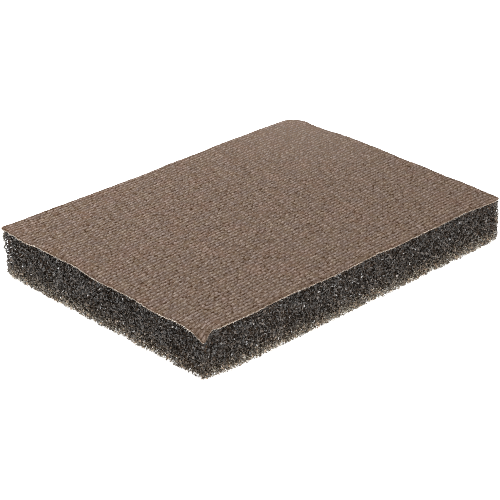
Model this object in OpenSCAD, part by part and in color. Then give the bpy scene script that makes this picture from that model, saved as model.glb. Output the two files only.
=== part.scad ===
// Foam-backed sanding pad: a sheet of coated abrasive cloth laminated to a block of open-cell foam.
// The pad lies on its foam, with the abrasive face up. The origin is at the centre of the foam's underside.

/* [Pad] */
// Length of the pad, along X
pad_length = 100; // [60:1:160]
// Width of the pad, along Y
pad_width = 70; // [40:1:120]

/* [Layers] */
// Thickness of the open-cell foam block
foam_thickness = 11.2; // [4:0.1:25]
// Thickness of the film of laminating adhesive
bond_thickness = 0.1; // [0.05:0.05:0.3]
// Thickness of the knitted backing cloth
cloth_thickness = 0.4; // [0.2:0.05:1]
// Thickness of the make coat, the resin that the grain is set in
make_coat_thickness = 0.1; // [0.05:0.05:0.3]
// Thickness of the grain coat, the grain with the resin that locks it in place
grain_thickness = 0.2; // [0.1:0.05:0.6]

/* [Corners] */
// Radius of the three corners that are cut square
cut_corner_radius = 1; // [1:0.1:4]
// Radius of the rounded corner at +X +Y
round_corner_radius = 5; // [2:0.5:12]

/* [Edges] */
// How far the adhesive film stops short of the pad's outline
bond_setback = 0.5; // [0:0.1:0.8]
// How far the grain stops short of the cut edge, where the blade chips it away
grain_setback = 0.3; // [0:0.1:0.8]

/* [Hidden] */
$fn = 64;

// The underside of each layer, from the foam up
bond_z = foam_thickness;
cloth_z = bond_z + bond_thickness;
make_coat_z = cloth_z + cloth_thickness;
grain_z = make_coat_z + make_coat_thickness;

// The disc that rounds one corner of the outline, drawn in by setback.
// side_x and side_y are -1 or 1 and say which corner it is.
module corner_disc(side_x, side_y, radius, setback) {
    translate([side_x * (pad_length / 2 - radius), side_y * (pad_width / 2 - radius)])
        circle(r = radius - setback);
}

// The outline between the corner discs: each pair of points is where one disc meets two straight sides.
module straight_sides(setback) {
    cut = cut_corner_radius;
    round = round_corner_radius;
    half_x = pad_length / 2;
    half_y = pad_width / 2;
    polygon([
        [-half_x + setback, -half_y + cut],
        [-half_x + cut, -half_y + setback],
        [half_x - cut, -half_y + setback],
        [half_x - setback, -half_y + cut],
        [half_x - setback, half_y - round],
        [half_x - round, half_y - setback],
        [-half_x + cut, half_y - setback],
        [-half_x + setback, half_y - cut]
    ]);
}

// The pad's outline in plan, drawn in by setback on every side.
module pad_outline(setback) {
    straight_sides(setback);
    corner_disc(-1, -1, cut_corner_radius, setback);
    corner_disc(1, -1, cut_corner_radius, setback);
    corner_disc(-1, 1, cut_corner_radius, setback);
    corner_disc(1, 1, round_corner_radius, setback);
}

// One layer of the laminate, from its underside at z.
module layer(z, thickness, setback = 0) {
    translate([0, 0, z])
        linear_extrude(thickness)
            pad_outline(setback);
}

module foam_block() {
    color("#3a3733") layer(0, foam_thickness);
}

module bond_film() {
    color("#c9b98a") layer(bond_z, bond_thickness, bond_setback);
}

module backing_cloth() {
    color("#d8c7ae") layer(cloth_z, cloth_thickness);
}

module make_coat() {
    color("#6f5442") layer(make_coat_z, make_coat_thickness);
}

module grain_coat() {
    color("#816f62") layer(grain_z, grain_thickness, grain_setback);
}

foam_block();
bond_film();
backing_cloth();
make_coat();
grain_coat();
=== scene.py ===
"""Looks of the foam-backed sanding pad.

A net of separate foam struts lies round a dark core, and a knitted abrasive cloth lies on top of both."""
import math

import bpy
import numpy as np
from mathutils import Matrix, Vector


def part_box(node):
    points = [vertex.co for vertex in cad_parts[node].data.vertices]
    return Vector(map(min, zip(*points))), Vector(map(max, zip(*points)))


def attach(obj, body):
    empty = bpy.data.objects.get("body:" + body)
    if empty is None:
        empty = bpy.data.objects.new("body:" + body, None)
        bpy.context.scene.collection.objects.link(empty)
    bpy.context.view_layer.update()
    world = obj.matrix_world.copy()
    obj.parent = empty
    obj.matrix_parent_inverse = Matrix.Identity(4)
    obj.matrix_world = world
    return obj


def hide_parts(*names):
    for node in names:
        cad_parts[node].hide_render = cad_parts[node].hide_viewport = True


# All sizes below are in millimetres in the row frame; meshes are made in metres.
MM = 0.001
TAU = 2 * math.pi

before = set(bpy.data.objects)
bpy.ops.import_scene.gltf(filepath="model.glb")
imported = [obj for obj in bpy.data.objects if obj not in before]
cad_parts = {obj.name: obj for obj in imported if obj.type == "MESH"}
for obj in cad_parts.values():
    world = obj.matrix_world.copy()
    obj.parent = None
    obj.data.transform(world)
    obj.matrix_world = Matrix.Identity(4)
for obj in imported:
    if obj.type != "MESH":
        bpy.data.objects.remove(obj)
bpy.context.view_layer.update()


def node_box(node):
    """A CAD node's lowest and highest corners, in millimetres."""
    low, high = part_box(node)
    return np.array(low) / MM, np.array(high) / MM


_, FOAM_HIGH = node_box("foam_block")
FILM_LOW, FILM_HIGH = node_box("bond_film")
CLOTH_LOW, CLOTH_HIGH = node_box("backing_cloth")
RESIN_LOW, RESIN_HIGH = node_box("make_coat")
_, GRAIN_HIGH = node_box("grain_coat")
HALF_X, HALF_Y = FOAM_HIGH[0], FOAM_HIGH[1]
FOAM_TOP = FOAM_HIGH[2]
TOP = GRAIN_HIGH[2]
CUT_CORNER_R = 1.0
ROUND_CORNER_R = 5.0


# ---------------------------------------------------------------- camera, light and floor

CAMERA_LENS = 126.2
SENSOR_WIDTH = 36
CLIP_START_M, CLIP_END_M = 0.01, 20
CAMERA_TARGET = np.array([-0.156 * 2 * HALF_X, -0.1395 * 2 * HALF_X, TOP])
CAMERA_DISTANCE = 4.02 * 2 * HALF_X
CAMERA_AZIMUTH = math.radians(-45)
CAMERA_ELEVATION = math.radians(26.83)
CAMERA_ROLL = math.radians(0.80)

# Each softbox's name, its place and size in metres, and its power in watts
SOFTBOXES = [("softbox_back", (-0.06, 0.19, 0.18), 0.10, 0.5),
             ("softbox_left", (-0.35, 0.95, 0.5), 0.3, 3.65),
             ("softbox_front", (-0.1, -1.0, 0.5), 0.4, 6.7)]
WORLD_STRENGTH = 0.85
PIXEL_FILTER_WIDTH = 0.95
FLOOR_GLOW = 0.9
FLOOR_HALF_M = 4.0


def make_camera():
    """The camera looks over the pad's near corner, with the pad's target point in the middle of its view."""
    az, el, roll = CAMERA_AZIMUTH, CAMERA_ELEVATION, CAMERA_ROLL
    back = Vector((math.sin(az) * math.cos(el), -math.cos(az) * math.cos(el), math.sin(el)))
    level = Vector((math.cos(az), math.sin(az), 0))
    upright = back.cross(level)
    right = level * math.cos(roll) + upright * math.sin(roll)
    up = upright * math.cos(roll) - level * math.sin(roll)
    place = Vector(CAMERA_TARGET * MM) + back * CAMERA_DISTANCE * MM
    data = bpy.data.cameras.new("camera")
    data.lens = CAMERA_LENS
    data.sensor_width = SENSOR_WIDTH
    data.clip_start = CLIP_START_M
    data.clip_end = CLIP_END_M
    camera = bpy.data.objects.new("camera", data)
    turn = Matrix((right, up, back)).transposed().to_4x4()
    camera.matrix_world = Matrix.Translation(place) @ turn
    bpy.context.scene.collection.objects.link(camera)
    bpy.context.scene.camera = camera


def area_light(name, place, size, power):
    """A square softbox at place, in metres, that faces the pad."""
    data = bpy.data.lights.new(name, "AREA")
    data.size = size
    data.energy = power
    lamp = bpy.data.objects.new(name, data)
    lamp.location = place
    lamp.rotation_mode = "QUATERNION"
    lamp.rotation_quaternion = Vector(place).to_track_quat("Z", "Y")
    bpy.context.scene.collection.objects.link(lamp)


def make_light():
    """An even white surround, and three softboxes."""
    world = bpy.data.worlds.new("studio")
    world.use_nodes = True
    sky = world.node_tree.nodes["Background"]
    sky.inputs["Color"].default_value = (1, 1, 1, 1)
    sky.inputs["Strength"].default_value = WORLD_STRENGTH
    bpy.context.scene.world = world
    for softbox in SOFTBOXES:
        area_light(*softbox)
    bpy.context.scene.view_settings.view_transform = "Standard"
    # The weave and the foam are about one pixel fine, and both of these would smooth them away.
    bpy.context.scene.cycles.use_denoising = False
    bpy.context.scene.cycles.filter_width = PIXEL_FILTER_WIDTH


def make_floor():
    """A plain pale floor under the pad, which glows a little so that it comes out white."""
    material = bpy.data.materials.new("floor")
    material.use_nodes = True
    shader = material.node_tree.nodes["Principled BSDF"]
    shader.inputs["Base Color"].default_value = (0.8, 0.8, 0.8, 1)
    shader.inputs["Roughness"].default_value = 0.9
    shader.inputs["Specular IOR Level"].default_value = 0.0
    shader.inputs["Emission Color"].default_value = (1, 1, 1, 1)
    shader.inputs["Emission Strength"].default_value = FLOOR_GLOW
    half = FLOOR_HALF_M
    mesh = bpy.data.meshes.new("floor")
    corners = [(-half, -half, 0), (half, -half, 0), (half, half, 0), (-half, half, 0)]
    mesh.from_pydata(corners, [], [(0, 1, 2, 3)])
    mesh.materials.append(material)
    floor = bpy.data.objects.new("floor", mesh)
    bpy.context.scene.collection.objects.link(floor)


# ---------------------------------------------------------------- shape of the pad

# The pad's corners, as the camera sees them
NEAR, LEFT, RIGHT, FAR = (-1, -1), (-1, 1), (1, -1), (1, 1)


def from_corner(x, y, corner):
    """How far a point is from a corner of the pad, in plan."""
    return np.hypot(x - corner[0] * HALF_X, y - corner[1] * HALF_Y)


def fade(distance, reach):
    """Falls from 1 at no distance to 0.37 at the reach and almost nothing at twice that."""
    return np.exp(-((distance / reach) ** 2))


def on_front_side(x, y):
    """Whether a point by the near corner is nearer to the long side there than to the short side."""
    return x + HALF_X > y + HALF_Y


def ripple(points, wavelength, seed, waves=7):
    """Smooth noise of about unit size: a sum of waves in random directions through the points."""
    rng = np.random.default_rng(seed)
    total = np.zeros(len(points))
    for _ in range(waves):
        direction = rng.normal(size=points.shape[1])
        direction *= TAU / (wavelength * rng.uniform(0.7, 1.4) * np.linalg.norm(direction))
        total += np.sin(points @ direction + rng.uniform(0, TAU))
    return total / math.sqrt(waves / 2)


def inset(x, y):
    """How far a point is in from the pad's outline; negative outside it."""
    radius = np.where((x > 0) & (y > 0), ROUND_CORNER_R, CUT_CORNER_R)
    past_x = np.abs(x) - (HALF_X - radius)
    past_y = np.abs(y) - (HALF_Y - radius)
    corner = np.hypot(np.maximum(past_x, 0), np.maximum(past_y, 0))
    return radius - corner - np.minimum(np.maximum(past_x, past_y), 0)


ARC_POINTS = 9
LOOK_AHEAD = 0.05


def outline(step):
    """Points every step along the pad's outline, and the direction that faces out at each."""
    corners = [(1, 1, ROUND_CORNER_R), (-1, 1, CUT_CORNER_R), (-1, -1, CUT_CORNER_R), (1, -1, CUT_CORNER_R)]
    arcs = []
    for quarter, (side_x, side_y, radius) in enumerate(corners):
        turn = (quarter + np.linspace(0, 1, ARC_POINTS)) * TAU / 4
        centre = [side_x * (HALF_X - radius), side_y * (HALF_Y - radius)]
        arcs.append(centre + radius * np.stack([np.cos(turn), np.sin(turn)], 1))
    ring = np.concatenate(arcs + [arcs[0][:1]])
    length = np.concatenate([[0], np.cumsum(np.linalg.norm(np.diff(ring, axis=0), axis=1))])
    at = np.arange(0, length[-1], step)
    points = np.stack([np.interp(at, length, ring[:, k]) for k in range(2)], 1)
    ahead = np.stack([np.interp(at + LOOK_AHEAD, length, ring[:, k]) for k in range(2)], 1) - points
    ahead /= np.maximum(np.linalg.norm(ahead, axis=1), 1e-9)[:, None]
    return points, np.stack([ahead[:, 1], -ahead[:, 0]], 1)


# The cut edge is this far in, and beside the near corner it is pinched in further, more on its long side
CUT_INSET = 0.15
LONG_SIDE_PINCH = 0.75
SHORT_SIDE_PINCH = 0.15
PINCH_PLACE = 2.4
PINCH_REACH = 1.6


def ragged(points):
    """How far the cloth's cut edge wanders in from the pad's outline."""
    x, y = points.T
    pinch = np.where(on_front_side(x, y), LONG_SIDE_PINCH, SHORT_SIDE_PINCH)
    pinch = pinch * fade(from_corner(x, y, NEAR) - PINCH_PLACE, PINCH_REACH)
    wander = CUT_INSET + 0.09 * ripple(points, 12, seed=51) + 0.05 * ripple(points, 1.8, seed=52)
    return np.maximum(wander, 0) + pinch


EDGE_CURL = 0.05
EDGE_CURL_REACH = 0.8
SWELL = 0.08
SWELL_REACH = 5
NEAR_CORNER_DROP = 1.95
NEAR_CORNER_REACH = 1.4
NEAR_CORNER_SHARPNESS = 1.4
# Where the face of this pad waves: place along and across as shares of its size, radius and rise in mm
FACE_WAVES = [
    (0.28, 0.5, 12, 0.45), (-0.13, 0.5, 10, -0.30),
    (0.5, 0.38, 6, -0.25), (0.5, 0.09, 6, 0.35), (0.5, -0.5, 9, -0.35),
    (-0.5, 0.44, 4, 0.35), (-0.5, 0.15, 9, 0.60), (-0.5, -0.01, 5, -0.30), (-0.5, -0.31, 8, -0.50),
    (-0.5, -0.465, 2.2, -0.75),
    (-0.44, -0.5, 4, 0.30), (-0.27, -0.5, 9, 0.30), (0.05, -0.5, 4, 0.45), (0.32, -0.5, 9, 0.25)]


def drop(x, y):
    """How far the cloth face lies below its flat height: it curls down at its edges and its near corner."""
    xy = np.stack([x, y], 1)
    inside = np.maximum(inset(x, y), 0)
    edge = EDGE_CURL * np.exp(-inside / EDGE_CURL_REACH)
    swell = SWELL * (1 + ripple(xy, 20, seed=11)) * np.exp(-inside / SWELL_REACH)
    for part_x, part_y, radius, rise in FACE_WAVES:
        away = np.hypot(x - part_x * 2 * HALF_X, y - part_y * 2 * HALF_Y)
        edge = edge - rise * fade(away, radius)
    tip = (from_corner(x, y, NEAR) / NEAR_CORNER_REACH) ** NEAR_CORNER_SHARPNESS
    return edge + np.maximum(swell, 0) + NEAR_CORNER_DROP * np.exp(-tip)


FILLED_MOST = 0.8
FILLED_REACH = 28


def filled(x, y):
    """How far the knit's hollows are filled with resin, from 0 to 1: only towards the rounded corner."""
    return FILLED_MOST * fade(from_corner(x, y, FAR), FILLED_REACH)


# ---------------------------------------------------------------- meshes

def mesh_piece(name, points, quads, tris=None, uv=None, smooth=False, marks=None):
    """A mesh object from arrays: points in mm, faces as point numbers, and uv and named marks per point."""
    faces = [quads] if tris is None else [quads, tris]
    loops = np.concatenate([f.ravel() for f in faces]).astype(np.int32)
    sizes = np.concatenate([np.full(len(f), f.shape[1]) for f in faces])
    starts = np.concatenate([[0], np.cumsum(sizes)[:-1]]).astype(np.int32)
    mesh = bpy.data.meshes.new(name)
    mesh.vertices.add(len(points))
    mesh.vertices.foreach_set("co", (points * MM).astype(np.float32).ravel())
    mesh.loops.add(len(loops))
    mesh.loops.foreach_set("vertex_index", loops)
    mesh.polygons.add(len(sizes))
    mesh.polygons.foreach_set("loop_start", starts)
    mesh.polygons.foreach_set("use_smooth", np.full(len(sizes), smooth))
    mesh.update(calc_edges=True)
    if uv is not None:
        layer = mesh.uv_layers.new(name="OFBake")
        layer.uv.foreach_set("vector", uv[loops].astype(np.float32).ravel())
    for mark, values in (marks or {}).items():
        layer = mesh.attributes.new(mark, "FLOAT", "POINT")
        layer.data.foreach_set("value", values.astype(np.float32))
    piece = bpy.data.objects.new(name, mesh)
    bpy.context.scene.collection.objects.link(piece)
    return piece


# ---------------------------------------------------------------- foam

# The packing of cells: its cell size, how it is turned (angle and axle), how its knots are moved about,
# and how far past the pad and its shell it is laid out
FOAM_CELL = 1.0
FOAM_TURN = (0.52, (0.48, 0.6, 0.64))
CELL_WARP = 0.30
WARP_LENGTH = 5
KNOT_JITTER = 0.085
GRID_MARGIN = 12
CELL_MARGIN = 3
SHELL_MARGIN = 1.6
# The struts
STRUT_SIDES = 3
STRUT_R = 0.093
STRUT_R_SPREAD = 0.70
STRUT_R_MOST = 0.36
MISSING_STRUTS = 0.04
SHORTEST_STRUT = 0.03
STRUTS_PER_PIECE = 24000
# The torn strut ends
FUZZ_COUNT = 20500
UPRIGHT_FUZZ_COUNT = 1500
FUZZ_R = 0.05
FUZZ_SHORTEST = 0.2
FUZZ_LONGEST_LOW = 0.6
FUZZ_LONGEST_HIGH = 0.9
FUZZ_LOW_HEIGHT = 3
FUZZ_DEPTH = 0.9
UPRIGHT_FUZZ_REACH = 1.5
# The struts fill a shell this deep at the sides and underneath, and behind it is the core, whose lower
# edge is chamfered
SHELL_DEPTH = 1.4
CORNER_SHELL_LOSS = 0.65
FLOOR_DEPTH = 0.4
CORE_CHAMFER = 1.2
CORE_CHAMFER_DEPTH = 0.8
# The struts reach this far into the core
SIDE_OVERLAP = 0.15
FLOOR_OVERLAP = 0.1
# Near a corner means this close to it
CORNER_REACH = 4
# Just under the cloth the sides are drawn in, more so under the near tip
UNDERCUT = 0.30
TIP_UNDERCUT = 0.25
# At their foot the sides flare out, most of all the long front one, and so does the whole right corner
FLARE = 0.35
FLARE_HEIGHT = 4
FRONT_FLARE = 0.22
FRONT_FLARE_REACH = 6
RIGHT_FLARE = 0.45
RIGHT_FLARE_LOSS = 0.25
RIGHT_FLARE_REACH = 5
# The left corner is rounded off at its foot, and so is the right one, but less far up
LEFT_WEAR = 1.7
LEFT_WEAR_LOSS = 1.85
LEFT_WEAR_REACH = 2.6
RIGHT_WEAR = 0.8
RIGHT_WEAR_HEIGHT = 3
# The underside bows up beside the short side at -X, most of all at the near corner
BOW = 0.35
BOW_REACH = 6
# How pale the struts are where light comes through them, and how far up and in from their foot that goes
FOOT_PALE_HEIGHT = 2.3
SHORT_SIDE_PALE_HEIGHT = 3.0
FOOT_PALE_REACH = 5
SIDE_PALENESS = 0.12
CORNER_PALENESS = 0.3
LEFT_PALE_REACH = 1.5
RIGHT_PALE_REACH = 2


def cell_edges():
    """The corners and edges of a packing of truncated octahedra, for one cubic cell of size 1.

    Each edge is a pair of corner numbers and the cell that its second corner is in."""
    corners = set()
    for axis in range(3):
        for quarter in (0.25, 0.75):
            for half_axis in range(3):
                if half_axis != axis:
                    corner = [0.0, 0.0, 0.0]
                    corner[axis] = quarter
                    corner[half_axis] = 0.5
                    corners.add(tuple(corner))
    corners = np.array(sorted(corners))
    edges = []
    steps = [(i, j, k) for i in (-1, 0, 1) for j in (-1, 0, 1) for k in (-1, 0, 1)]
    for a in range(len(corners)):
        for b in range(len(corners)):
            for step in steps:
                gap = np.linalg.norm(corners[b] + step - corners[a])
                if abs(gap - math.sqrt(1 / 8)) < 1e-6 and (step, b) > ((0, 0, 0), a):
                    edges.append((a, b, *step))
    return corners, np.array(edges)


def worn(x, y, z):
    """How much the foam is rounded off at height z: under the left corner, and at the right one's foot."""
    foot = RIGHT_WEAR * np.clip(1 - z / RIGHT_WEAR_HEIGHT, 0, 1) ** 1.5
    foot = foot * fade(from_corner(x, y, RIGHT), CORNER_REACH)
    left = LEFT_WEAR - LEFT_WEAR_LOSS * z / FOAM_TOP
    return left * fade(from_corner(x, y, LEFT), LEFT_WEAR_REACH) + foot


def foam_inside(p):
    """How far a point is inside the knife-cut foam; negative outside it."""
    x, y, z = p.T
    xy = p[:, :2]
    under_cloth = UNDERCUT + TIP_UNDERCUT * fade(from_corner(x, y, NEAR), CORNER_REACH)
    under_cloth = under_cloth * np.clip(z / FOAM_TOP, 0, 1) ** 5
    wander = np.maximum(0.10 + 0.06 * ripple(p, 9, seed=21) + 0.06 * ripple(p, 3, seed=22), 0)
    flare = FLARE + FRONT_FLARE * np.exp(-(y + HALF_Y) / FRONT_FLARE_REACH)
    flare = flare * np.clip(1 - z / FLARE_HEIGHT, 0, 1)
    right = RIGHT_FLARE - RIGHT_FLARE_LOSS * z / FOAM_TOP
    flare += right * fade(from_corner(x, y, RIGHT), RIGHT_FLARE_REACH)
    side = under_cloth + wander + worn(x, y, z) - flare
    across = inset(x, y)
    bow = BOW * (1 - y / HALF_Y) * np.exp(-(x + HALF_X) / BOW_REACH)
    lift = bow + 0.06 * (1 + ripple(xy, 7, seed=23)) * np.exp(-np.maximum(across, 0) / 5)
    return np.minimum(across - side, z - np.maximum(lift, 0))


def core_inset(x, y, z):
    """How far the dark core stands in from the outline: less at the corners, more at its foot and the tip."""
    rise = np.clip((z - FLOOR_DEPTH) / CORE_CHAMFER, 0, 1)
    corner = np.hypot(HALF_X - np.abs(x), HALF_Y - np.abs(y))
    under_tip = fade(from_corner(x, y, NEAR), CORNER_REACH) * np.clip(z / FOAM_TOP, 0, 1) ** 2
    depth = SHELL_DEPTH - CORNER_SHELL_LOSS * fade(corner, CORNER_REACH) + under_tip
    return depth + CORE_CHAMFER_DEPTH * (1 - rise) ** 1.3 + worn(x, y, z)


def foam_struts():
    """The struts of the foam's outer shell: end points, and which of the ends the knife has cut."""
    rng = np.random.default_rng(5)
    corners, edges = cell_edges()
    angle, axle = FOAM_TURN
    turn = np.array(Matrix.Rotation(angle, 3, Vector(axle)))
    reach = math.hypot(HALF_X, HALF_Y) + GRID_MARGIN
    count = int(2 * reach / FOAM_CELL) + 2
    cells = np.stack(np.meshgrid(*[np.arange(count)] * 3, indexing="ij"), -1)
    centre = (cells + 0.5 - count / 2) @ turn.T * FOAM_CELL + [0, 0, FOAM_TOP / 2]
    x, y, z = np.moveaxis(centre, -1, 0)
    near = np.abs(z - FOAM_TOP / 2) < FOAM_TOP / 2 + CELL_MARGIN
    near &= (np.abs(x) < HALF_X + CELL_MARGIN) & (np.abs(y) < HALF_Y + CELL_MARGIN)
    near &= (inset(x, y) < core_inset(x, y, z) + SHELL_MARGIN) | (z < FLOOR_DEPTH + SHELL_MARGIN)
    own = cells[near]
    start = own[:, None] + np.zeros((1, len(edges), 1), int)
    end = own[:, None] + edges[None, :, 2:]
    # A knot that several cells share has one key, from its cell's place in the grid and its own number there
    side = count + 2
    key_a = ((start + 1) @ [side ** 2, side, 1]) * len(corners) + edges[None, :, 0]
    key_b = ((end + 1) @ [side ** 2, side, 1]) * len(corners) + edges[None, :, 1]
    keys, index = np.unique(np.concatenate([key_a.ravel(), key_b.ravel()]), return_inverse=True)
    cell_key = keys // len(corners)
    cell = np.stack([cell_key // side ** 2, cell_key // side % side, cell_key % side], 1) - 1
    points = (cell + corners[keys % len(corners)] - count / 2) @ turn.T * FOAM_CELL + [0, 0, FOAM_TOP / 2]
    for axis in range(3):
        points[:, axis] += CELL_WARP * FOAM_CELL * ripple(points, WARP_LENGTH * FOAM_CELL, seed=31 + axis)
    points += rng.normal(size=points.shape) * KNOT_JITTER * FOAM_CELL
    pairs = index.reshape(2, -1).T
    thick = np.minimum(STRUT_R * np.exp(rng.normal(0, STRUT_R_SPREAD, len(points))), STRUT_R_MOST)
    inside = foam_inside(points)
    pairs = pairs[(inside[pairs] > 0).any(1)]
    middle = points[pairs].mean(1)
    deep = inset(middle[:, 0], middle[:, 1]) > core_inset(*middle.T) + SIDE_OVERLAP
    deep &= middle[:, 2] > FLOOR_DEPTH + FLOOR_OVERLAP
    pairs = pairs[~deep & (middle[:, 2] < FOAM_TOP)]
    pairs = pairs[rng.random(len(pairs)) > MISSING_STRUTS]
    return points, pairs, thick, inside


def prisms(a, b, radius_a, radius_b, rng, sides=STRUT_SIDES):
    """Closed prisms from a to b, each turned at random about its length."""
    along = b - a
    along /= np.linalg.norm(along, axis=1)[:, None]
    across = np.cross(along, rng.normal(size=a.shape))
    across /= np.linalg.norm(across, axis=1)[:, None]
    third = np.cross(along, across)
    turns = TAU * np.arange(sides) / sides
    ring = np.stack([math.cos(t) * across + math.sin(t) * third for t in turns], 1)
    rings = [(a, radius_a), (b, radius_b)]
    points = np.concatenate([at[:, None] + ring * r[:, None, None] for at, r in rings], 1).reshape(-1, 3)
    base = np.arange(len(a))[:, None] * 2 * sides
    k = np.arange(sides)
    after = (k + 1) % sides
    wall = np.stack([k, after, after + sides, k + sides], 1)
    fan = np.stack([np.zeros(sides - 2, int), k[1:-1], k[2:]], 1)
    quads = (base[:, None] + wall[None]).reshape(-1, 4)
    tris = (base[:, None] + np.concatenate([fan[:, ::-1], fan + sides])[None]).reshape(-1, 3)
    return points, quads, tris


def light_through(x, y, z):
    """How pale the struts are where light comes through them: at the foot of the sides and at two corners."""
    foot_height = np.where(x < 2 - HALF_X, SHORT_SIDE_PALE_HEIGHT, FOOT_PALE_HEIGHT)
    foot = SIDE_PALENESS * (1 - z / FOAM_TOP) + (1 - SIDE_PALENESS) * fade(z, foot_height)
    foot *= fade(np.maximum(inset(x, y), 0), FOOT_PALE_REACH)
    left = CORNER_PALENESS * fade(from_corner(x, y, LEFT), LEFT_PALE_REACH)
    right = CORNER_PALENESS * fade(from_corner(x, y, RIGHT), RIGHT_PALE_REACH)
    return np.maximum(foot, left + right)


def make_foam_net():
    """The net of struts, cut off at the foam's faces, in sectors round the pad that are each one piece."""
    points, pairs, thick, inside = foam_struts()
    rng = np.random.default_rng(6)
    # Each knot's random tone, most of them dark: the few bright ones are painted glints, standing in for
    # light that the struts catch
    knot_tone_and_glint = rng.random(len(points)) ** 5
    flip = inside[pairs[:, 0]] < inside[pairs[:, 1]]
    pairs[flip] = pairs[flip][:, ::-1]
    a, b = points[pairs[:, 0]], points[pairs[:, 1]].copy()
    depth_a, depth_b = inside[pairs[:, 0]], inside[pairs[:, 1]]
    cut = depth_b < 0
    share = np.where(cut, depth_a / (depth_a - depth_b), 1.0)
    b = a + (b - a) * share[:, None]
    kept = np.linalg.norm(b - a, axis=1) > SHORTEST_STRUT
    for ends in (a, b):
        ends[:, 2] = np.minimum(ends[:, 2], FOAM_TOP)
    a, b, pairs = a[kept], b[kept], pairs[kept]
    depth_a, depth_b = depth_a[kept], np.maximum(depth_b[kept], 0)
    angle = np.arctan2(a[:, 1] / HALF_Y, a[:, 0] / HALF_X)
    order = np.argsort(angle)
    pieces = []
    chunks = np.array_split(order, math.ceil(len(order) / STRUTS_PER_PIECE))
    for number, chunk in enumerate(chunks):
        ends = thick[pairs[chunk]]
        p, quads, tris = prisms(a[chunk], b[chunk], ends[:, 0], ends[:, 1], rng)
        depth = np.stack([depth_a[chunk], depth_b[chunk]], 1).ravel().repeat(STRUT_SIDES)
        clean = knot_tone_and_glint[pairs[chunk]].ravel().repeat(STRUT_SIDES)
        p[:, 2] *= 1 - drop(p[:, 0], p[:, 1]) / FOAM_TOP
        p[:, 2] = np.maximum(p[:, 2], 0)
        turn = np.arctan2(p[:, 1] / HALF_Y, p[:, 0] / HALF_X)
        uv = np.stack([(turn - turn.min()) / np.ptp(turn), p[:, 2] / FOAM_TOP], 1)
        marks = {"depth": np.clip(depth / SHELL_DEPTH, 0, 1), "clean": clean, "pale": light_through(*p.T)}
        pieces.append(mesh_piece(f"foam_net_{number + 1}", p, quads, tris, uv=uv, marks=marks))
    return pieces


def make_fuzz():
    """Short torn strut ends, which the knife leaves along the foam's lower arris and its upright corners."""
    rng = np.random.default_rng(8)
    edge, outward = outline(0.01)
    corners = np.hypot(HALF_X - np.abs(edge[:, 0]), HALF_Y - np.abs(edge[:, 1])) < UPRIGHT_FUZZ_REACH
    # The near corner is left out: both of its coordinates are below zero
    corners &= edge.max(1) > 0
    low = rng.integers(0, len(edge), FUZZ_COUNT)
    upright = rng.choice(np.nonzero(corners)[0], UPRIGHT_FUZZ_COUNT)
    at = np.concatenate([low, upright])
    height = np.concatenate([rng.exponential(1.0, len(low)), rng.uniform(0, FOAM_TOP, len(upright))])
    start = np.column_stack([edge[at] - outward[at] * rng.uniform(-0.6, 1.0, len(at))[:, None], height])
    inside = foam_inside(start)
    kept = (inside > 0) & (inside < FUZZ_DEPTH) & (height < FOAM_TOP)
    start, inside = start[kept], inside[kept]
    way = rng.normal(size=start.shape)
    way[:, :2] += 0.7 * outward[at][kept]
    high = start[:, 2] > FUZZ_LOW_HEIGHT
    longest = np.where(high, FUZZ_LONGEST_HIGH, FUZZ_LONGEST_LOW)
    way *= rng.uniform(FUZZ_SHORTEST, longest)[:, None] / np.linalg.norm(way, axis=1)[:, None]
    size = FUZZ_R * rng.uniform(0.6, 1.5, len(start))
    p, quads, tris = prisms(start, start + way, size, size * 0.7, rng)
    p[:, 2] = np.clip(p[:, 2], 0, FOAM_TOP) * (1 - drop(p[:, 0], p[:, 1]) / FOAM_TOP)
    uv = np.stack([np.arctan2(p[:, 1], p[:, 0]) / TAU + 0.5, p[:, 2] / FOAM_TOP], 1)
    under_tip = high & (from_corner(start[:, 0], start[:, 1], NEAR) < CORNER_REACH)
    # The least and most pale that an end can be: under the tip, high up elsewhere, and at the foot; the paler
    # foot is painted light coming through the foam, the darker tip painted shade
    least, most = np.where(under_tip, [[0], [0.15]], np.where(high, [[0], [0.45]], [[0.2], [1]]))
    pale = least + (most - least) * rng.random(len(start))
    return mesh_piece("foam_fuzz", p, quads, tris, uv=uv, marks={"pale": pale.repeat(2 * STRUT_SIDES)})


# ---------------------------------------------------------------- sheets and core, made of closed slabs

def rounded(x, y):
    """Moves points of the pad's plain rectangle so that its corners become arcs, the largest at +X +Y."""
    radius = np.where((x > 0) & (y > 0), ROUND_CORNER_R, CUT_CORNER_R)
    a = (np.abs(x) - (HALF_X - radius)) / radius
    b = (np.abs(y) - (HALF_Y - radius)) / radius
    corner = (a > 0) & (b > 0)
    round_a = np.where(corner, a * np.sqrt(np.maximum(1 - b * b / 2, 0)), a)
    round_b = np.where(corner, b * np.sqrt(np.maximum(1 - a * a / 2, 0)), b)
    return (np.sign(x) * (HALF_X - radius + radius * round_a),
            np.sign(y) * (HALF_Y - radius + radius * round_b))


def slab(columns, rows, layers):
    """The closed surface of a box of cells: unit coordinates of its points, and its quads."""
    shape = (columns + 1, rows + 1, layers + 1)
    number = np.arange(np.prod(shape)).reshape(shape)

    def grid(n):
        """The quads of a flat grid of point numbers."""
        return np.stack([n[:-1, :-1], n[1:, :-1], n[1:, 1:], n[:-1, 1:]], -1).reshape(-1, 4)

    quads = np.concatenate([
        grid(number[:, :, -1]), grid(number[:, :, 0])[:, ::-1],
        grid(number[:, 0, :]), grid(number[:, -1, :])[:, ::-1],
        grid(number[-1, :, :]), grid(number[0, :, :])[:, ::-1]])
    used, quads = np.unique(quads, return_inverse=True)
    unit = np.stack(np.unravel_index(used, shape), 1) / [columns, rows, layers]
    return unit, quads.reshape(-1, 4)


def plan_uv(points):
    """UVs that look straight down on the pad."""
    return np.clip(np.stack([points[:, 0] / (2 * HALF_X) + 0.5, points[:, 1] / (2 * HALF_Y) + 0.5], 1), 0, 1)


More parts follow.
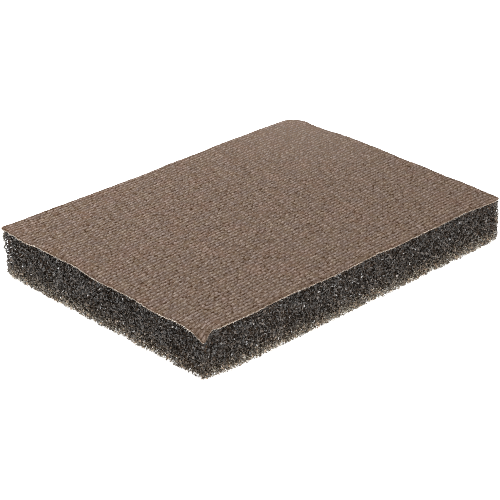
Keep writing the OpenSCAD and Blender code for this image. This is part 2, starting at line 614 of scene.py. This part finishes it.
def sheet_piece(name, step, bottom, top, edge_in):
    """A thin closed sheet between two heights, lowered by drop(); edge_in(points) draws its edge in."""
    unit, quads = slab(round(2 * HALF_X / step), round(2 * HALF_Y / step), 1)
    x = (unit[:, 0] * 2 - 1) * HALF_X
    y = (unit[:, 1] * 2 - 1) * HALF_Y
    x, y = rounded(x, y)
    back = edge_in(np.stack([x, y], 1))
    x *= 1 - back / HALF_X
    y *= 1 - back / HALF_Y
    z = bottom + (top - bottom) * unit[:, 2] - drop(x, y)
    marks = {"filled": filled(x, y)}
    return mesh_piece(name, np.stack([x, y, z], 1), quads, smooth=True, marks=marks)


CORE_STEP = 0.5
CORE_LAYERS = 16
CORE_TOP = FOAM_TOP - 0.05


def make_core():
    """The foam's dark inside, which shows between the struts: one closed lump with a pitted skin."""
    unit, quads = slab(round(2 * HALF_X / CORE_STEP), round(2 * HALF_Y / CORE_STEP), CORE_LAYERS)
    z = FLOOR_DEPTH + (CORE_TOP - FLOOR_DEPTH) * unit[:, 2]
    x = (unit[:, 0] * 2 - 1) * HALF_X
    y = (unit[:, 1] * 2 - 1) * HALF_Y
    x, y = rounded(x, y)
    back = core_inset(x, y, z)
    x *= 1 - back / HALF_X
    y *= 1 - back / HALF_Y
    p = np.stack([x, y, z], 1)
    pits = 0.22 * ripple(p, 1.6, seed=41) + 0.12 * ripple(p, 0.9, seed=42)
    # Points of the sides and the underside move away from the face that they are on, but not those on top
    outward = np.stack([x / HALF_X, y / HALF_Y, 2 * unit[:, 2] - 1], 1)
    outward = np.where(np.abs(outward) > 0.9, np.sign(outward), 0)
    outward[:, 2] = np.minimum(outward[:, 2], 0)
    p += outward * pits[:, None]
    p[:, 2] = np.clip(p[:, 2], FLOOR_DEPTH * 0.6, CORE_TOP) * (1 - drop(p[:, 0], p[:, 1]) / FOAM_TOP)
    under = (unit[:, 2] == 0) * np.clip((inset(x, y) - 3) / 2, 0, 1)
    return mesh_piece("foam_core", p, quads, smooth=True, marks={"under": under})


# ---------------------------------------------------------------- the knit

ROWS_ACROSS = 65
ROW_PITCH = 2 * HALF_Y / ROWS_ACROSS
ROW_TILT = math.radians(1.1)
STITCH_STEP = 0.955
STITCH_REPEAT = 3
ROW_SHIFT = 0.32
STITCH_LENGTH = 1.15
STITCH_WIDTH = 0.78
STITCH_SLANT = math.radians(14)
STITCH_JITTER = 0.155
LENGTH_SPREAD = 0.08
WIDTH_SPREAD = 0.14
HEIGHT_SPREAD = 0.14
SLANT_SPREAD = 0.09
TONE_SPREAD = 0.27
# One stitch in each repeat is raised: it is wider, higher and paler than the others
RAISED_WIDTH, LOW_WIDTH = 1.12, 0.94
RAISED_HEIGHT, LOW_HEIGHT = 0.96, 0.76
RAISED_TONE, LOW_TONE = 0.60, 0.42
END_WIDTH = 0.35
END_HEIGHT = 0.25
GRIT = 0.022
MISSING_SHARE = 0.03
STITCHES_PER_PIECE = 2900
# The stitches stand in from the cloth's edge and start a little below the resin's surface
STITCH_SETBACK = 0.1
STITCH_EDGE_GAP = 0.03
STITCH_SUNK = 0.12
RIM_REACH = 1.5


def stitches():
    """The stitches of the abrasive face: x, y, slant, length, width, height and tone of each."""
    rng = np.random.default_rng(7)
    rows = math.ceil(HALF_Y / ROW_PITCH) + 3
    columns = math.ceil((HALF_X + rows * ROW_SHIFT) / STITCH_STEP) + 3
    row, column = np.meshgrid(np.arange(-rows, rows + 1), np.arange(-columns, columns + 1), indexing="ij")
    row, column = row.ravel(), column.ravel()
    n = len(row)
    along = column * STITCH_STEP + row * ROW_SHIFT + rng.normal(0, STITCH_JITTER, n)
    across = row * ROW_PITCH + rng.normal(0, 0.6 * STITCH_JITTER, n)
    raised = column % STITCH_REPEAT == 0
    x = along * math.cos(ROW_TILT) - across * math.sin(ROW_TILT)
    y = along * math.sin(ROW_TILT) + across * math.cos(ROW_TILT)
    slant = STITCH_SLANT + ROW_TILT + rng.normal(0, SLANT_SPREAD, n)
    length = STITCH_LENGTH * rng.normal(1, LENGTH_SPREAD, n)
    width = STITCH_WIDTH * rng.normal(1, WIDTH_SPREAD, n) * np.where(raised, RAISED_WIDTH, LOW_WIDTH)
    height = np.clip(np.where(raised, RAISED_HEIGHT, LOW_HEIGHT) * rng.normal(1, HEIGHT_SPREAD, n), 0.3, 1)
    tone = np.clip(np.where(raised, RAISED_TONE, LOW_TONE) + rng.normal(0, TONE_SPREAD, n), 0, 1)
    found = np.stack([x, y, slant, length, width, height, tone], 1)[rng.random(n) > MISSING_SHARE]
    return found[inset(found[:, 0], found[:, 1]) > ragged(found[:, :2]) + STITCH_SETBACK]


def stitch_form(along, across):
    """One stitch as a closed bump: length, width and height coordinates of its points, and its faces."""
    u, v = np.meshgrid(np.linspace(-1, 1, along + 1), np.linspace(-1, 1, across + 1), indexing="ij")
    taper = END_WIDTH + (1 - END_WIDTH) * np.sqrt(1 - u ** 2)
    rise = np.sqrt(1 - v ** 2) * (END_HEIGHT + (1 - END_HEIGHT) * np.sqrt(1 - u ** 2))
    n = np.arange(u.size).reshape(u.shape)
    top = np.stack([n[:-1, :-1], n[1:, :-1], n[1:, 1:], n[:-1, 1:]], -1).reshape(-1, 4)
    bottom = np.stack([n[:-1, 0], n[:-1, -1], n[1:, -1], n[1:, 0]], -1)
    near_end = np.stack([np.full(across - 1, n[0, 0]), n[0, 1:-1], n[0, 2:]], -1)
    far_end = np.stack([np.full(across - 1, n[-1, 0]), n[-1, 2:], n[-1, 1:-1]], -1)
    quads = np.concatenate([top, bottom])
    tris = np.concatenate([near_end, far_end])
    return u.ravel(), (v * taper).ravel(), rise.ravel(), quads, tris


def make_stitches():
    """The abrasive face's stitches, in strips across the pad that are each one piece."""
    found = stitches()
    strips = np.array_split(found, math.ceil(len(found) / STITCHES_PER_PIECE))
    return [make_strip(f"grain_stitches_{k + 1}", strip, 80 + k) for k, strip in enumerate(strips)]


def make_strip(name, strip, seed):
    """One piece of the abrasive face, from the rows of numbers that stitches() gives."""
    rng = np.random.default_rng(seed)
    u, v, rise, quads, tris = stitch_form(along=6, across=4)
    middle_x, middle_y, slant, length, width, height, tone = strip.T[:, :, None]
    along = u[None] * length / 2
    across = v[None] * width / 2
    x = (middle_x + along * np.cos(slant) - across * np.sin(slant)).ravel()
    y = (middle_y + along * np.sin(slant) + across * np.cos(slant)).ravel()
    edge = ragged(np.stack([x, y], 1)) + STITCH_EDGE_GAP
    x = np.clip(x, -HALF_X + edge, HALF_X - edge)
    y = np.clip(y, -HALF_Y + edge, HALF_Y - edge)
    base = RESIN_HIGH[2] - STITCH_SUNK
    z = base + ((TOP - GRIT - base) * rise[None] * height).ravel()
    p = np.stack([x, y, z], 1)
    lifted = np.tile(rise > 0, len(strip))
    p[lifted] += np.clip(rng.normal(0, GRIT, (lifted.sum(), 3)), -2 * GRIT, 2 * GRIT)
    p[:, 2] = np.minimum(p[:, 2], TOP) - drop(x, y)
    rim = np.exp(-np.maximum(inset(x, y), 0) / RIM_REACH)
    marks = {"tone": tone.repeat(u.size), "rise": np.tile(rise, len(strip)), "rim": rim,
             "filled": filled(x, y)}
    start = (np.arange(len(strip)) * u.size)[:, None, None]
    quads = (start + quads[None]).reshape(-1, 4)
    tris = (start + tris[None]).reshape(-1, 3)
    return mesh_piece(name, p, quads, tris, uv=plan_uv(p), marks=marks)


# ---------------------------------------------------------------- the cloth's cut edge

YARN_SIDES = 5
YARN_HOLD = 0.2
# How frayed the edge is: less towards +X, more round the near corner, but clean right beside it
FRAYED = 0.58
FRAYED_LOSS = 0.14
NEAR_FRAYED, NEAR_FRAYED_REACH = 0.3, 12
LONG_SIDE_CLEAN, SHORT_SIDE_CLEAN, CLEAN_REACH = 0.9, 0.3, 3.5


def cut_yarns(name, step, radius, reach, spread, low, high, seed):
    """Yarn or fibre ends that poke out of the cut edge: reach is how far, spread how much they splay."""
    rng = np.random.default_rng(seed)
    points, outward = outline(step)
    n = len(points)
    aside = np.stack([-outward[:, 1], outward[:, 0]], 1)
    start = np.empty((n, 3))
    held = ragged(points) + YARN_HOLD
    start[:, :2] = points - outward * held[:, None] + aside * rng.normal(0, step / 4, n)[:, None]
    start[:, 2] = rng.uniform(low, high, n)
    near_corner = from_corner(*points.T, NEAR)
    frayed = FRAYED - FRAYED_LOSS * (points[:, 0] / HALF_X + 1)
    frayed += NEAR_FRAYED * fade(near_corner, NEAR_FRAYED_REACH)
    clean = np.where(on_front_side(*points.T), LONG_SIDE_CLEAN, SHORT_SIDE_CLEAN)
    frayed -= clean * fade(near_corner, CLEAN_REACH)
    frayed = frayed + 0.05 * ripple(points, 24, seed=seed + 1) + 0.15 * ripple(points, 5, seed=seed + 2)
    frayed = np.clip(frayed, 0.05, 1)
    out = 0.35 + rng.uniform(*reach, n) * (0.4 + frayed)
    end = start.copy()
    end[:, :2] += outward * out[:, None] + aside * rng.normal(0, spread, n)[:, None]
    end[:, 2] += rng.normal(-0.2, 0.7, n) * spread
    for ends in (start, end):
        ends[:, 2] = np.minimum(ends[:, 2], high) - drop(ends[:, 0], ends[:, 1])
    size = radius * rng.uniform(0.7, 1.3, n)
    p, quads, tris = prisms(start, end, size, size * 0.7, rng, sides=YARN_SIDES)
    tone = (frayed * rng.uniform(0.3, 1, n)).repeat(2 * YARN_SIDES)
    return mesh_piece(name, p, quads, tris, uv=plan_uv(p), marks={"tone": tone})


# ---------------------------------------------------------------- materials

# The sockets of a Mix node that mixes colours, which share their names with those for plain numbers
MIX_FACTOR, MIX_A, MIX_B, MIX_RESULT = 0, 6, 7, 2


class Nodes:
    """Builds one node material: each call adds a node, and returns its output."""

    def __init__(self, name, **settings):
        """A new material with these values on its shader, where a socket's name has _ for each space."""
        self.material = bpy.data.materials.new(name)
        self.material.use_nodes = True
        self.tree = self.material.node_tree
        self.shader = self.tree.nodes["Principled BSDF"]
        for socket, value in settings.items():
            self.shader.inputs[socket.replace("_", " ")].default_value = value
        coordinates = self.tree.nodes.new("ShaderNodeTexCoord")
        self.place = coordinates.outputs["Object"]

    def put(self, kind, inputs, **options):
        """Adds a node; each of its inputs is given as a value, or as another node's output."""
        node = self.tree.nodes.new(kind)
        for option, value in options.items():
            setattr(node, option, value)
        for socket, value in inputs.items():
            if isinstance(value, bpy.types.NodeSocket):
                self.tree.links.new(value, node.inputs[socket])
            else:
                node.inputs[socket].default_value = value
        return node

    def noise(self, size_mm, detail=2.0, roughness=0.5):
        """Smooth noise from 0 to 1 with lumps of about this size."""
        node = self.put("ShaderNodeTexNoise", {"Vector": self.place, "Scale": 1 / (size_mm * MM),
                                               "Detail": detail, "Roughness": roughness})
        return node.outputs["Fac"]

    def mark(self, name):
        """A value that the mesh holds for each of its points."""
        return self.put("ShaderNodeAttribute", {}, attribute_name=name).outputs["Fac"]

    def spread(self, value, low, high, to_low=0.0, to_high=1.0):
        """Stretches the values from low to high so that they run from to_low to to_high."""
        node = self.put("ShaderNodeMapRange", {"Value": value, "From Min": low, "From Max": high,
                                               "To Min": to_low, "To Max": to_high})
        return node.outputs["Result"]

    def mix(self, factor, a, b, blend="MIX"):
        """Goes from colour a to colour b as factor goes from 0 to 1."""
        node = self.put("ShaderNodeMix", {}, data_type="RGBA", blend_type=blend)
        for socket, value in ((MIX_FACTOR, factor), (MIX_A, a), (MIX_B, b)):
            if isinstance(value, bpy.types.NodeSocket):
                self.tree.links.new(value, node.inputs[socket])
            else:
                node.inputs[socket].default_value = value
        return node.outputs[MIX_RESULT]

    def tint(self, colour, tint):
        """The colour multiplied by a tint."""
        return self.mix(1.0, colour, (*tint, 1), "MULTIPLY")

    def drive(self, socket, output):
        """Feeds one of the shader's inputs."""
        self.tree.links.new(output, self.shader.inputs[socket])

    def bump(self, height, distance_mm):
        """Roughens the surface by this much."""
        node = self.put("ShaderNodeBump", {"Height": height, "Distance": distance_mm * MM})
        self.drive("Normal", node.outputs["Normal"])


def srgb(red, green, blue):
    """A colour given as it shows on screen, from 0 to 255, as the linear values that shaders take."""
    def linear(c):
        """One channel's linear value."""
        c /= 255
        return c / 12.92 if c <= 0.04045 else ((c + 0.055) / 1.055) ** 2.4
    return (linear(red), linear(green), linear(blue), 1)


def strut_material():
    """Dark glossy struts: a few knots are painted bright as glints, and those that light comes through are
    paler.
    """
    n = Nodes("foam_struts", Roughness=0.22, Specular_IOR_Level=0.64)
    # The 'clean' mark is each knot's random tone, and its rare bright end paints glints
    near = n.mix(n.mark("clean"), srgb(29, 25, 21), srgb(102, 93, 86))
    warm = n.spread(n.noise(9.0), 0.35, 0.65)
    near = n.mix(warm, near, n.tint(near, (1.07, 1.0, 0.94)))
    pale = n.tint(near, (4.5, 4.2, 3.5))
    near = n.mix(n.mark("pale"), near, pale)
    # Struts deep in the shell go to one lighter brown, as the core does: painted light that lifts the shade
    # in the pores
    deep = n.spread(n.mark("depth"), 0.15, 0.9)
    n.drive("Base Color", n.mix(deep, near, srgb(70, 58, 48)))
    return n.material


def fuzz_material():
    """Thin torn strut ends, each of a random paleness: paler at the foot, which is painted light coming
    through, and darker under the tip, which is painted shade.
    """
    n = Nodes("foam_fuzz", Roughness=0.5, Specular_IOR_Level=0.5)
    n.drive("Base Color", n.mix(n.mark("pale"), srgb(58, 52, 44), srgb(214, 206, 186)))
    return n.material


def core_material():
    """The dark behind the struts, yet lighter than most struts: painted light that lifts the shade in the
    pores. It is darker and greyer on its underside.
    """
    n = Nodes("foam_dark", Roughness=1.0, Specular_IOR_Level=0.0)
    patch = n.spread(n.noise(0.8), 0.35, 0.65)
    base = n.mix(patch, srgb(70, 57, 46), srgb(92, 76, 64))
    n.drive("Base Color", n.mix(n.mark("under"), base, n.tint(base, (0.38, 0.42, 0.48))))
    return n.material


def film_material():
    """Clear amber adhesive."""
    n = Nodes("adhesive", Roughness=0.35)
    n.drive("Base Color", n.mix(n.noise(2.0), srgb(150, 128, 88), srgb(178, 156, 112)))
    return n.material


def yarn_material():
    """Undyed yarn, stained by the resin that has soaked into it."""
    n = Nodes("backing_yarn", Roughness=0.85)
    patch = n.spread(n.noise(0.5, 1.0), 0.42, 0.58)
    n.drive("Base Color", n.mix(patch, srgb(98, 80, 66), srgb(176, 158, 140)))
    return n.material


def yarn_end_material():
    """Cut yarn ends, which are white where they are most frayed."""
    n = Nodes("cut_yarn", Roughness=0.7)
    n.drive("Base Color", n.mix(n.mark("tone"), srgb(112, 92, 77), srgb(255, 250, 240)))
    return n.material


def stained(n, base):
    """The abrasive's colour base, with the reddish, straw and grey stains that its batches of grain have."""
    stains = [(5.0, 0.50, 0.66, (1.04, 0.985, 0.98)), (3.0, 0.47, 0.63, (0.99, 1.0, 0.94)),
              (4.0, 0.48, 0.64, (0.97, 0.99, 1.05))]
    for size, low, high, tint in stains:
        patch = n.spread(n.noise(size, 1.0), low, high)
        base = n.mix(patch, base, n.tint(base, tint))
    return base


def resin_material():
    """The brown resin between the stitches, with dark spots painted on as the shade in its pits, except where
    the knit is filled.
    """
    n = Nodes("resin", Roughness=0.9, Specular_IOR_Level=0.0)
    # Dark spots: painted shade standing in for pits that the mesh doesn't have
    pit_shade = n.spread(n.noise(0.5), 0.50, 0.36)
    base = n.mix(pit_shade, stained(n, srgb(102, 85, 73)), srgb(59, 42, 29))
    n.drive("Base Color", n.mix(n.mark("filled"), base, srgb(116, 99, 87)))
    n.bump(n.noise(0.12), 0.05)
    return n.material


def grain_material():
    """Grain-covered stitches: darker low down in their hollows, which is painted shade, darker where grit is
    missing, and redder at the cut edge.
    """
    n = Nodes("grain", Roughness=0.6, Specular_IOR_Level=0.4)
    base = n.mix(n.mark("tone"), srgb(109, 92, 80), srgb(140, 124, 113))
    # Low on each stitch the colour is darkened: painted shade in the hollows between the stitches
    high = n.spread(n.mark("rise"), 0.1, 0.8)
    hollow_shade_and_grit = n.mix(high, n.tint(base, (0.56, 0.43, 0.32)), base)
    grit = n.spread(n.noise(0.32, 2.0), 0.35, 0.65)
    hollow_shade_and_grit = n.mix(grit, n.tint(hollow_shade_and_grit, (0.66, 0.60, 0.55)), hollow_shade_and_grit)
    even = n.tint(base, (0.85, 0.86, 0.87))
    base = stained(n, n.mix(n.mark("filled"), hollow_shade_and_grit, even))
    rim = n.spread(n.mark("rim"), 0.0, 1.0, 0.0, 0.35)
    base = n.mix(rim, base, n.tint(base, (1.15, 0.98, 0.86)))
    n.drive("Base Color", base)
    n.bump(n.noise(0.1, 3.0), 0.04)
    return n.material


# ---------------------------------------------------------------- assembly

def finish_piece(piece, material, slot, *nodes):
    """Gives a piece its material, hangs it under the root body, and hides the CAD nodes that it stands in
    for; slot is not used.
    """
    piece.data.materials.append(material)
    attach(piece, "root")
    if nodes:
        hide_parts(*nodes)


FILM_STEP = 1.0
CLOTH_STEP = 0.5
# The film stops short of the cloth's edge, and the resin soaks into the cloth and just covers its edge
FILM_SETBACK = 0.45
RESIN_SOAK = 0.15
RESIN_OVERLAP = 0.08

make_camera()
make_light()
make_floor()

struts = strut_material()
for net in make_foam_net():
    finish_piece(net, struts, "foam")
fuzz = make_fuzz()
finish_piece(fuzz, fuzz_material(), "foam")
core = make_core()
finish_piece(core, core_material(), "foam", "foam_block")

film = sheet_piece("adhesive_film", FILM_STEP, FILM_LOW[2], FILM_HIGH[2],
                   edge_in=lambda p: ragged(p) + FILM_SETBACK)
finish_piece(film, film_material(), "adhesive", "bond_film")
cloth = sheet_piece("knitted_cloth", CLOTH_STEP, CLOTH_LOW[2], CLOTH_HIGH[2], edge_in=ragged)
finish_piece(cloth, yarn_material(), "cloth", "backing_cloth")
resin = sheet_piece("resin_coat", CLOTH_STEP, RESIN_LOW[2] - RESIN_SOAK, RESIN_HIGH[2],
                    edge_in=lambda p: ragged(p) - RESIN_OVERLAP)
finish_piece(resin, resin_material(), "resin", "make_coat")
grain = make_stitches()
grit = grain_material()
for strip in grain:
    finish_piece(strip, grit, "abrasive", "grain_coat")
yarn_ends = cut_yarns("yarn_ends", step=0.34, radius=0.09, reach=(-0.05, 0.16), spread=0.12,
                      low=CLOTH_LOW[2] + 0.05, high=CLOTH_HIGH[2], seed=61)
fibres = cut_yarns("stray_fibres", step=1.3, radius=0.018, reach=(0.1, 0.7), spread=0.45,
                   low=CLOTH_LOW[2], high=CLOTH_HIGH[2], seed=62)
ends = yarn_end_material()
finish_piece(yarn_ends, ends, "cloth")
finish_piece(fibres, ends, "cloth")
